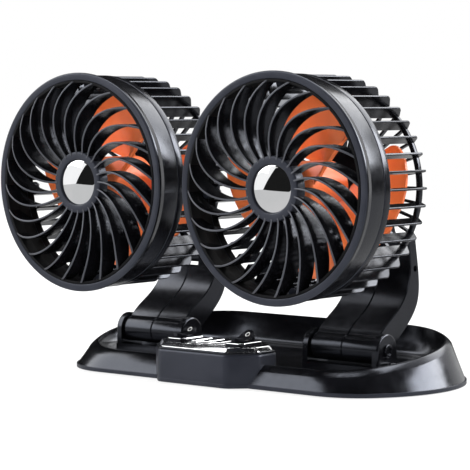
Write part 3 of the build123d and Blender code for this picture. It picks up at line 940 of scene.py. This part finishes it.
@dataclass
class SwitchBox:
    """The long octagonal switch box with its stepped bright trim, switches and rockers."""

    half_w: float = 33.5
    front: float = 46.5
    depth: float = 36.5
    corner: float = 11.5
    corner_r: float = 6.0
    corner_steps: int = 6
    wall_top: float = 17.0
    band_h: float = 1.1
    inner: float = 4.1
    # the wall's section: how far in, and how high
    wall_shape: Outline = (
        (0.0, 2.6),
        (0.0, 15.9),
        (0.12, 16.5),
        (0.45, 16.9),
        (0.9, 17.0),
        (2.0, 17.0),
        (2.0, 2.6),
    )
    # each band's outer face, from below: how far in, and how high above the band's foot
    lower_shape: Outline = (
        (0.64, 0.0),
        (0.55, 0.04),
        (0.51, 0.12),
        (0.5, 0.25),
        (0.5, 0.62),
        (0.55, 0.82),
        (0.66, 0.97),
        (0.82, 1.07),
        (1.05, 1.1),
    )
    middle_shape: Outline = (
        (1.84, 0.0),
        (1.75, 0.04),
        (1.71, 0.12),
        (1.73, 0.22),
        (1.82, 0.34),
        (2.4, 1.1),
    )
    upper_shape: Outline = (
        (2.4, 0.0),
        (2.98, 0.76),
        (3.1, 0.9),
        (3.26, 1.02),
        (3.46, 1.08),
        (3.7, 1.1),
    )
    # how far above the trim the painted highlights on the edges of the box's top and of the switches' bezels
    # start
    top_accent: float = 0.1
    bezel_accent: float = 0.3
    top_bevel: float = 0.2
    board_bevel: float = 0.1
    switch_bevel: float = 0.25
    switch_x: float = 18.75
    switch_y: float = -28.9
    pivot_z: float = 20.8
    rest_tilt: float = 14.0
    dish_z: float = 2.4
    dish_r: float = 9.18
    # the inlaid ring's section: radius, and height over the rocker's dish
    mark_shape: Outline = ((0.85, -0.35), (0.85, 0.06), (1.25, 0.06), (1.25, -0.35))
    mark_reach: float = 4.2
    mark_facets: int = 32

    def outline(self, inset: float) -> list[Point2]:
        """The octagon with eased corners.

        Args:
            inset: how far in from the wall's outside.

        Returns:
            Points from the left of the front, anticlockwise.
        """
        x, cut = self.half_w - inset, self.corner - inset * (2 - math.sqrt(2))
        front, rear = inset - self.front, self.depth - self.front - inset
        corners = (
            (-x + cut, front),
            (x - cut, front),
            (x, front + cut),
            (x, rear - cut),
            (x - cut, rear),
            (-x + cut, rear),
            (-x, rear - cut),
            (-x, front + cut),
        )
        return Workshop.eased(corners, (self.corner_r - inset,) * len(corners), self.corner_steps)

    def skin(self, name: str, levels: Outline) -> bpy.types.Object:
        """A closed wall round the box.

        Args:
            name: the object's name.
            levels: the wall's section, as how far in and how high.

        Returns:
            The wall.
        """
        rings = [[Vector((x, y + HINGE_Y, z)) for x, y in self.outline(inset)] for inset, z in levels]
        return Workshop.loft(name, rings, closed=True)

    def band(self, band: Band) -> bpy.types.Object:
        """One band of the trim: a ring with a sloped outer face and eased edges.

        Args:
            band: which one.

        Returns:
            The band.
        """
        low = self.wall_top + band.value * self.band_h
        shape = (self.lower_shape, self.middle_shape, self.upper_shape)[band.value]
        face = tuple((inset, low + rise) for inset, rise in shape)
        levels = ((self.inner, low), *face, (self.inner, low + self.band_h))
        return self.skin("trim_band_" + band.name.lower(), levels)

    def mark(self, side: Side) -> bpy.types.Object:
        """The ring inlaid in the raised end of a rocker.

        Args:
            side: the rocker's side.

        Returns:
            The ring.
        """
        tilt = Matrix.Rotation(math.radians(self.rest_tilt), 3, "X")
        pivot = Vector((side.value * self.switch_x, self.switch_y + HINGE_Y, self.pivot_z))
        rings = []
        for r, height in self.mark_shape:
            ring = []
            for step in range(self.mark_facets):
                turn = 2 * math.pi * step / self.mark_facets
                y = self.mark_reach + r * math.sin(turn)
                dish = self.dish_z + self.dish_r - math.sqrt(self.dish_r**2 - y**2)
                ring.append(pivot + tilt @ Vector((r * math.cos(turn), y, dish + height)))
            rings.append(ring)
        return Workshop.loft("rocker_mark" + side.suffix, rings, closed=True)

    def build(self) -> None:
        """Builds the box and gives its pieces their finishes."""
        placed(self.skin("box_wall", self.wall_shape), SATIN_BLACK, "base", "control_box")
        for band in Band:
            finish = GLOSS_BLACK if band is Band.LOWER else CHROME_TRIM_AND_HIGHLIGHT
            placed(self.band(band), finish, "base", "trim_" + band.name.lower())
        crown = self.wall_top + len(Band) * self.band_h
        top = Workshop.copied("control_top", "box_top", self.top_bevel)
        placed(top, GLOSS_BLACK, "base", "control_top")
        # the top's eased upper edges get the trim's chrome as a painted highlight
        Workshop.accented(top, crown + self.top_accent)
        placed(Workshop.copied("circuit_board", "board", self.board_bevel), BOARD, "base", "circuit_board")
        for side in Side:
            self.switch(side, crown)

    def switch(self, side: Side, crown: float) -> None:
        """Builds one switch and its rocker.

        Args:
            side: the switch's side.
            crown: how high the trim's top lies.
        """
        end = side.suffix
        switch = Workshop.copied("switch" + end, "switch_body" + end, self.switch_bevel)
        placed(switch, GLOSS_BLACK, "base", "switch" + end)
        # the bezel's eased upper edges get the trim's chrome as a painted highlight
        Workshop.accented(switch, crown + self.bezel_accent)
        paddle = Workshop.copied("rocker" + end, "rocker_paddle" + end, self.switch_bevel)
        placed(paddle, GLOSS_BLACK, "rocker" + end, "rocker" + end)
        placed(self.mark(side), MARK_WHITE, "rocker" + end)


@dataclass
class ArmSet:
    """A folding arm and its neck, as softened copies of the CAD halves."""

    side: Side
    # node, finish, body and bevel
    pieces: tuple[tuple[str, Finish, str, float], ...] = (
        ("arm_outer", GLOSS_BLACK, "arm", 0.35),
        ("arm_inner", GLOSS_BLACK, "arm", 0.35),
        ("arm_screws", STEEL, "arm", 0.0),
        ("tilt_pin", STEEL, "arm", 0.15),
        ("neck", GLOSS_BLACK, "neck", 0.3),
        ("swivel_pin", STEEL, "neck", 0.15),
    )

    def build(self) -> None:
        """Builds the arm's pieces and gives them their finishes."""
        end = self.side.suffix
        for node, finish, body, width in self.pieces:
            place_copy(node, finish, body + end, width, end)


@dataclass
class Grille:
    """The front shell and its grille of swept slats round a hub with a bright cap."""

    side: Side
    face_y: float = -62.2
    hub_r: float = 15.5
    rim_r: float = 51.2
    slat_count: int = 24
    slat_t: float = 1.1
    slat_rear: float = -56.0
    # where a slat starts and ends, inside the hub and the rim, and how many pieces it is lofted from
    slat_span: Point2 = (14.0, 50.6)
    slat_steps: int = 26
    # half a slat's front edge: share of its half thickness, and how far behind its front
    slat_edge: Outline = ((1.0, 0.5), (0.82, 0.16), (0.4, 0.0))
    # a face that leans forwards by more than this gets the edge finish, a lighter grey painted on as a
    # highlight
    slat_lit: float = 0.3
    start_angle: float = 1.6
    sweep: float = 29.5
    sweep_power: float = 1.6
    # the sweep is measured to a little past the rim
    sweep_past: float = 0.1
    dome_h: float = 4.4
    # the dome from the hub to the rim: share of the way out, and share of its height
    dome_shares: Outline = ((0.0, 0.05), (0.24, 0.59), (0.6, 1.0), (0.86, 0.66), (1.0, 0.0))
    shell: Turning = Turning(
        corners=(
            (51.3, -62.2),
            (54.4, -62.2),
            (55.0, -61.6),
            (55.0, -60.5),
            (53.8, -57.0),
            (53.8, -46.65),
            (51.3, -46.65),
        ),
        rounds=(0.5, 0.5, 0.5, 0.9, 2.0, 0.3, 0.2),
        facets=192,
    )
    rim: Turning = Turning(
        corners=((49.8, -62.2), (51.2, -62.2), (51.2, -56.0), (49.8, -56.0)),
        rounds=(0.35, 0.2, 0.2, 0.2),
        facets=192,
    )
    hub: Turning = Turning(
        corners=((11.6, -62.2), (15.5, -62.2), (15.5, -56.0), (11.6, -56.0)),
        rounds=(0.4, 0.8, 0.3, 0.2),
        facets=96,
    )
    cap_r: float = 11.5
    cap_depth: float = 4.3
    cap_sag: float = 0.95
    # the cap's softened edge: how far in, and how far behind its dome's rim
    cap_edge: Outline = ((0.0, 0.4), (0.06, 0.18), (0.2, 0.04))
    cap_steps: int = 20
    cap_facets: int = 96

    def front(self, r: float) -> float:
        """How far forward a slat reaches, on a smooth curve through the dome's shares.

        Args:
            r: the radius.

        Returns:
            The Y value.
        """
        share = min(max((r - self.hub_r) / (self.rim_r - self.hub_r), 0.0), 1.0)
        knots, slopes = self.dome_shares, self.slopes()
        for i, ((a, low), (b, high)) in enumerate(zip(knots, knots[1:])):
            if share <= b:
                h = b - a
                t = (share - a) / h
                rise = (
                    (2 * t**3 - 3 * t**2 + 1) * low
                    + (t**3 - 2 * t**2 + t) * h * slopes[i]
                    + (-2 * t**3 + 3 * t**2) * high
                    + (t**3 - t**2) * h * slopes[i + 1]
                )
                return self.face_y - rise * self.dome_h
        return self.face_y

    def slopes(self) -> list[float]:
        """The dome's slope at each point of its curve.

        Returns:
            The slopes, in order.
        """
        knots = self.dome_shares
        rates = [(b[1] - a[1]) / (b[0] - a[0]) for a, b in zip(knots, knots[1:])]
        return [rates[0], *[(a + b) / 2 for a, b in zip(rates, rates[1:])], rates[-1]]

    def lean(self, r: float) -> tuple[float, float]:
        """How a slat lies at a radius.

        Args:
            r: the radius.

        Returns:
            The angle that it has swept, and its slant to that radius, in radians.
        """
        span = self.rim_r + self.sweep_past - self.hub_r
        share = max((r - self.hub_r) / span, 0.0)
        swept = math.radians(self.start_angle - self.sweep * share**self.sweep_power)
        rate = self.sweep * self.sweep_power * share ** (self.sweep_power - 1) / span
        return swept, math.atan(r * math.radians(rate))

    def slat(self) -> bpy.types.Object:
        """One swept slat with a rounded front edge, whose front faces are marked for a lighter grey painted
        on as a highlight.

        Returns:
            The slat.
        """
        shape = bmesh.new()
        start, end = self.slat_span
        other_half = [(-across, back) for across, back in reversed(self.slat_edge)]
        section = [(1.0, None), *self.slat_edge, *other_half, (-1.0, None)]
        rings = []
        for step in range(self.slat_steps + 1):
            r = start + (end - start) * step / self.slat_steps
            swept, slant = self.lean(r)
            half = self.slat_t / 2 / (r * math.cos(slant))
            front = self.front(r)
            ring = []
            for across, back in section:
                y = self.slat_rear if back is None else front + back
                turn = swept + across * half
                ring.append(Vector((r * math.cos(turn), y + HINGE_Y, r * math.sin(turn))))
            rings.append(ring)
        rows = Workshop.strip(shape, rings)
        shape.faces.new(rows[0])
        shape.faces.new(rows[-1])
        mark = shape.faces.layers.bool.new(Repeater.MARK)
        bmesh.ops.recalc_face_normals(shape, faces=shape.faces)
        # faces that lean forwards are marked for a highlight painted on in a lighter grey
        for face in shape.faces:
            face.normal_update()
            face[mark] = face.normal.y < -self.slat_lit
        return Workshop.from_bmesh("slats" + self.side.suffix, shape, Workshop.CURVED_SHARP)

    def cap(self) -> bpy.types.Object:
        """The bright cap: a shallow dome with a softened edge.

        Returns:
            The cap.
        """
        rim = self.face_y + self.cap_sag
        rear = self.face_y + self.cap_depth
        profile = [(ON_LINE, rear), (self.cap_r, rear)]
        profile += [(self.cap_r - inset, rim + back) for inset, back in self.cap_edge]
        dome_r = profile[-1][0]
        for step in range(1, self.cap_steps + 1):
            r = dome_r * (1 - step / self.cap_steps)
            profile.append((max(r, ON_LINE), rim - self.cap_sag * (1 - (r / self.cap_r) ** 2)))
        name = "hub_cap_bright" + self.side.suffix
        return Workshop.lathe(name, profile, self.side.line, self.cap_facets, closed=False)

    def build(self) -> None:
        """Builds the front of one head and gives its pieces their finishes."""
        end, line = self.side.suffix, self.side.line
        body = "head" + end
        shell = Workshop.turned("front_ring" + end, self.shell, line)
        Workshop.shelled(shell, line)
        placed(shell, SATIN_BLACK, body, "front_shell" + end, dressed=True)
        # the slats' front faces get a lighter grey painted on as a highlight
        slats = Repeater.round_line(self.slat(), self.slat_count, line, SLAT_BLACK, SLAT_EDGE_HIGHLIGHT)
        Workshop.smooth(slats.data, Workshop.CURVED_SHARP)
        placed(slats, SLAT_BLACK, body, "grille" + end, dressed=True)
        placed(Workshop.turned("grille_rim" + end, self.rim, line), INNER_BLACK, body)
        placed(Workshop.turned("grille_hub" + end, self.hub, line), SATIN_BLACK, body)
        placed(self.cap(), CHROME, body, "hub_cap" + end)


@dataclass
class RearCage:
    """The finned cage behind the front shell, with the motor and its cover."""

    side: Side
    fin_count: int = 40
    fin_t: float = 1.1
    # one fin with its spoke, seen from its side: corners (radius, y) and their rounds
    fin: Outline = (
        (46.6, -44.6),
        (53.5, -44.6),
        (53.5, -11.2),
        (48.0, -7.0),
        (14.0, -7.0),
        (14.0, -10.0),
        (46.6, -10.0),
    )
    fin_rounds: tuple[float, ...] = (0.0, 0.0, 4.6, 1.2, 0.0, 0.0, 1.6)
    fin_steps: int = 6
    edge_round: float = 0.36
    band: Turning = Turning(
        corners=((51.3, -46.4), (53.8, -46.4), (53.8, -41.6), (51.3, -41.6)),
        rounds=(0.2, 0.35, 0.8, 0.3),
        facets=192,
    )
    ring: Turning = Turning(
        corners=((45.6, -10.0), (48.0, -10.0), (48.0, -7.0), (45.6, -7.0)),
        rounds=(0.7, 0.7, 0.7, 0.7),
        facets=160,
    )
    hub: Turning = Turning(
        corners=((2.4, -10.0), (17.0, -10.0), (17.0, -7.0), (2.4, -7.0)),
        rounds=(0.2, 0.8, 0.8, 0.2),
        facets=96,
    )
    # the bosses that the head screws sit in
    boss: Turning = Turning(
        corners=((ON_LINE, -50.65), (2.4, -50.65), (2.4, -41.65), (ON_LINE, -41.65)),
        rounds=(0.0, 0.5, 0.3, 0.0),
        facets=32,
        closed=False,
    )
    boss_at: float = 49.4
    boss_turn: float = 4.5
    boss_count: int = 4
    # the pieces that are copied: node, finish and bevel
    copies: tuple[tuple[str, Finish, float], ...] = (
        ("motor", MOTOR_CAN, 0.0),
        ("motor_cover", GLOSS_BLACK, 0.3),
        ("head_screws", STEEL, 0.1),
    )

    def plate(self) -> bpy.types.Object:
        """One fin with its spoke, with softened edges.

        Returns:
            The fin.
        """
        outline = Workshop.eased(self.fin, self.fin_rounds, self.fin_steps)
        half = self.fin_t / 2
        rings = [[Vector((r, y + HINGE_Y, z)) for r, y in outline] for z in (-half, half)]
        made = Workshop.loft("fins" + self.side.suffix, rings)
        return Workshop.bevelled(made, self.edge_round, Workshop.CURVED_SHARP)

    def build(self) -> None:
        """Builds the cage of one head and gives its pieces their finishes."""
        end, line = self.side.suffix, self.side.line
        body = "head" + end
        fins = Repeater.round_line(self.plate(), self.fin_count, line, GLOSS_BLACK)
        placed(fins, GLOSS_BLACK, body, "cage" + end, dressed=True)
        band = Workshop.turned("cage_band" + end, self.band, line)
        Workshop.shelled(band, line)
        placed(band, SATIN_BLACK, body, dressed=True)
        placed(Workshop.turned("cage_rear_ring" + end, self.ring, line), GLOSS_BLACK, body)
        placed(Workshop.turned("cage_rear_hub" + end, self.hub, line), GLOSS_BLACK, body)
        turn = math.radians(self.boss_turn)
        boss_line = Vector((self.boss_at * math.cos(turn), 0, self.boss_at * math.sin(turn)))
        boss = Workshop.turned("screw_bosses" + end, self.boss, boss_line)
        bosses = Repeater.round_line(boss, self.boss_count, line, SATIN_BLACK)
        placed(bosses, SATIN_BLACK, body, dressed=True)
        for node, finish, width in self.copies:
            place_copy(node, finish, body, width, end)


@dataclass
class Impeller:
    """Three broad paddles on a round hub, and the shaft."""

    side: Side
    hub: Turning = Turning(
        corners=((1.6, -47.0), (12.5, -47.0), (12.5, -18.0), (1.6, -18.0)),
        rounds=(0.2, 2.2, 0.4, 0.2),
        facets=96,
    )
    blade_count: int = 3
    root_r: float = 11.3
    shoulder_r: float = 35.0
    tip_r: float = 46.0
    front: float = 45.0
    depth: float = 31.0
    camber: float = 1.5
    lead: float = -82.0
    span: float = 112.0
    lag: float = 30.0
    round_power: float = 0.45
    thickness: float = 1.5
    lip: float = 0.5
    lip_angle: float = 50.0
    along_steps: int = 40
    across_steps: int = 12
    shaft_bevel: float = 0.2

    def curve(self, phase: float, outer: bool) -> Vector:
        """A point of the blade's root or tip.

        Args:
            phase: from 0 at the leading edge to pi at the trailing edge.
            outer: whether the tip is meant.

        Returns:
            The point.
        """
        along = -math.cos(phase)
        share = (1 + math.copysign(abs(along) ** self.round_power, along)) / 2
        r, lag = self.root_r, self.lag
        if outer:
            rise = math.sin(phase) ** self.round_power
            r, lag = self.shoulder_r + (self.tip_r - self.shoulder_r) * rise, 0.0
        angle = math.radians(self.lead - lag + self.span * share)
        y = -self.front + self.depth * (1 - (1 - share) ** self.camber)
        return Vector((r * math.cos(angle), y + HINGE_Y, r * math.sin(angle)))

    def blade(self) -> bpy.types.Object:
        """One paddle with thickness and a softened lip.

        Returns:
            The paddle.
        """
        shape = bmesh.new()
        rows = []
        for step in range(self.along_steps + 1):
            phase = math.pi * step / self.along_steps
            root, tip = self.curve(phase, False), self.curve(phase, True)
            rows.append([root.lerp(tip, k / self.across_steps) for k in range(self.across_steps + 1)])
        Workshop.strip(shape, rows, around=False)
        made = Workshop.from_bmesh("impeller_blades" + self.side.suffix, shape, Workshop.CURVED_SHARP)
        wall = made.modifiers.new("wall", "SOLIDIFY")
        wall.thickness = self.thickness * MM
        wall.offset = 0.0
        return Workshop.bevelled(Workshop.fixed(made), self.lip, self.lip_angle)

    def build(self) -> None:
        """Builds one impeller and gives its pieces their finishes."""
        end, line = self.side.suffix, self.side.line
        body = "impeller" + end
        blades = Repeater.round_line(self.blade(), self.blade_count, line, ORANGE)
        placed(blades, ORANGE, body, "impeller" + end, dressed=True)
        hub = placed(Workshop.turned("impeller_hub" + end, self.hub, line), ORANGE, body)
        place_copy("shaft", STEEL, body, self.shaft_bevel, end)
        # the photograph's black slats and bright trim mirror the studio and none of the orange
        for orange in (blades, hub):
            orange.visible_glossy = False


@dataclass(frozen=True)
class Lamp:
    """A soft box: its place, its width and its height in metres, and its power in watts."""

    name: str
    at: Point3
    size: Point2
    power: float
    mirrored: bool = True


@dataclass(frozen=True)
class Screen:
    """A dark curved screen's edges.

    It goes round from straight ahead, to the fan's left, and up from the horizon. The lean is how much
    further round its upper edge starts.
    """

    start: float
    end: float
    low: float
    high: float
    lean: float = 0.0


@dataclass
class Studio:
    """Floor, lamps, reflections and camera. Lengths here are in metres."""

    camera_at: Point3 = (0.6631, -0.8276, 0.1405)
    camera_to: Point3 = (-0.0046, -0.01095, 0.0725)
    # the camera's lens and sensor, in millimetres as lenses are named
    lens: float = 159.9
    sensor: float = 36.0
    white: tuple[float, float, float, float] = (1.0, 1.0, 1.0, 1.0)
    level: float = 0.95
    floor_half: float = 1.35
    floor_cells: int = 2
    floor_noise: float = 3.0
    floor_levels: Point2 = (0.83, 0.85)
    # the floor's own light: how strong and how much of it the camera sees, and what gloss mirrors
    floor_light: float = 1.08
    floor_light_share: float = 0.72
    floor_glow: float = 0.6
    screens: tuple[Screen, ...] = (
        Screen(-34.0, 128.0, 16.0, 78.0),
        Screen(-46.0, 128.0, -4.4, 16.0, 16.0),
        Screen(128.0, 160.0, -4.4, 16.0),
        Screen(-165.0, -70.0, -4.4, 12.0),
        Screen(-165.0, -88.0, 12.0, 80.0),
    )
    screen_r: float = 4.0
    screen_z: float = 0.1
    screen_up_steps: int = 12
    screen_round_steps: int = 24
    cloth: tuple[float, float, float, float] = (0.01, 0.01, 0.01, 1.0)
    lamp_aim: Point3 = (0.0, 0.0, 0.08)
    lamps: tuple[Lamp, ...] = (
        Lamp("left_soft_box", (-1.58, -0.8, 1.05), (1.85, 1.5), 26.0),
        Lamp("rear_soft_box", (0.15, 1.55, 1.3), (1.2, 0.7), 9.0),
        Lamp("top_soft_box", (-0.12, 0.15, 1.9), (1.3, 1.1), 24.0),
        Lamp("right_soft_box", (1.35, 1.05, 0.92), (1.5, 0.8), 44.0),
        Lamp("front_strip", (1.65, -0.93, 0.75), (0.34, 0.6), 0.8),
        Lamp("front_fill", (0.1, -2.0, 0.7), (1.2, 1.0), 24.0, mirrored=False),
    )

    def world(self) -> None:
        """Sets a plain level for the object, and white where the camera, metal or glass sees past it."""
        world = bpy.data.worlds.new("studio_light")
        bpy.context.scene.world = world
        world.use_nodes = True
        nodes = Nodes(world.node_tree)
        path = nodes.add("ShaderNodeLightPath").outputs
        seen = path["Is Camera Ray"]
        for name in ("Is Glossy Ray", "Is Transmission Ray"):
            seen = nodes.join("ShaderNodeMath", seen, path[name], operation="MAXIMUM")
        strength = nodes.add("ShaderNodeMapRange", Value=seen, To_Min=self.level, To_Max=1.0)
        light = nodes.add("ShaderNodeBackground", Color=self.white, Strength=strength.outputs["Result"])
        nodes.add("ShaderNodeOutputWorld", Surface=light.outputs["Background"])

    def floor(self) -> None:
        """Lays a pale floor that keeps the fan's soft shadow."""
        cells = self.floor_cells
        shape = bmesh.new()
        bmesh.ops.create_grid(shape, x_segments=cells, y_segments=cells, size=self.floor_half)
        floor = meshed("floor", shape)
        made, nodes = new_material("pale_floor")
        place = nodes.add("ShaderNodeTexCoord").outputs["Object"]
        noise = nodes.add("ShaderNodeTexNoise", Vector=place, Scale=self.floor_noise)
        colour = nodes.add("ShaderNodeValToRGB", Fac=noise.outputs["Fac"])
        for stop, level in zip(colour.color_ramp.elements, self.floor_levels):
            stop.color = (level, level, level, 1)
        paint = nodes.add("ShaderNodeBsdfDiffuse", Color=colour.outputs["Color"]).outputs["BSDF"]
        light, glow = [
            nodes.add("ShaderNodeEmission", Color=self.white, Strength=strength).outputs["Emission"]
            for strength in (self.floor_light, self.floor_glow)
        ]
        path = nodes.add("ShaderNodeLightPath").outputs
        share = nodes.join(
            "ShaderNodeMath", path["Is Camera Ray"], self.floor_light_share, operation="MULTIPLY"
        )
        mixed = nodes.join("ShaderNodeMixShader", share, paint, light)
        mirrored = nodes.join("ShaderNodeMixShader", path["Is Glossy Ray"], mixed, glow)
        nodes.add("ShaderNodeOutputMaterial", Surface=mirrored)
        floor.data.materials.append(made)

    def set_screen(self, name: str, edges: Screen) -> None:
        """Sets a screen that only glossy surfaces see, as a studio does round shiny plastic.

        Args:
            name: the screen's name.
            edges: where it stands.
        """
        shape = bmesh.new()
        rows = []
        for i in range(self.screen_up_steps + 1):
            rise = i / self.screen_up_steps
            up = math.radians(edges.low + (edges.high - edges.low) * rise)
            out, z = self.screen_r * math.cos(up), self.screen_z + self.screen_r * math.sin(up)
            start = edges.start + edges.lean * rise
            row = []
            for j in range(self.screen_round_steps + 1):
                turn = math.radians(start + (edges.end - start) * j / self.screen_round_steps)
                row.append(Vector((out * math.sin(turn), -out * math.cos(turn), z)) / MM)
            rows.append(row)
        Workshop.strip(shape, rows, around=False)
        screen = meshed(name, shape)
        made, nodes = new_material("screen_cloth")
        cloth = nodes.add("ShaderNodeBsdfDiffuse", Color=self.cloth)
        nodes.add("ShaderNodeOutputMaterial", Surface=cloth.outputs["BSDF"])
        screen.data.materials.append(made)
        for ray in ("camera", "diffuse", "transmission", "volume_scatter", "shadow"):
            setattr(screen, "visible_" + ray, False)

    @staticmethod
    def aim(made: bpy.types.Object, at: Point3, to: Point3) -> None:
        """Stands a lamp or the camera in its place, turned to its target.

        Args:
            made: the lamp or the camera.
            at: its place.
            to: its target.
        """
        made.location = at
        made.rotation_euler = (Vector(to) - Vector(at)).to_track_quat("-Z", "Y").to_euler()

    def set_lamp(self, given: Lamp) -> None:
        """Sets a soft box that points at the fan.

        Args:
            given: the soft box.
        """
        data = bpy.data.lights.new(given.name, "AREA")
        data.shape = "RECTANGLE"
        data.size, data.size_y = given.size
        data.energy = given.power
        lamp = linked(given.name, data)
        self.aim(lamp, given.at, self.lamp_aim)
        lamp.visible_camera = False
        lamp.visible_glossy = given.mirrored

    def set_camera(self) -> None:
        """Sets the photograph's view."""
        data = bpy.data.cameras.new("photo_view")
        data.lens, data.sensor_width = self.lens, self.sensor
        camera = linked("photo_view", data)
        self.aim(camera, self.camera_at, self.camera_to)
        bpy.context.scene.camera = camera

    def build(self) -> None:
        """Sets the studio up."""
        bpy.context.scene.view_settings.view_transform = "Standard"
        self.world()
        self.floor()
        for number, edges in enumerate(self.screens):
            self.set_screen(f"dark_screen_{number}", edges)
        for lamp in self.lamps:
            self.set_lamp(lamp)
        self.set_camera()


def main() -> None:
    """Builds the fan's looks in order."""
    logging.basicConfig(level=logging.INFO, format="%(message)s")
    TrayBase().build()
    SwitchBox().build()
    for side in Side:
        ArmSet(side).build()
        Grille(side).build()
        RearCage(side).build()
        Impeller(side).build()
    Studio().build()
    bpy.context.view_layer.update()


if __name__ == "__main__":
    main()
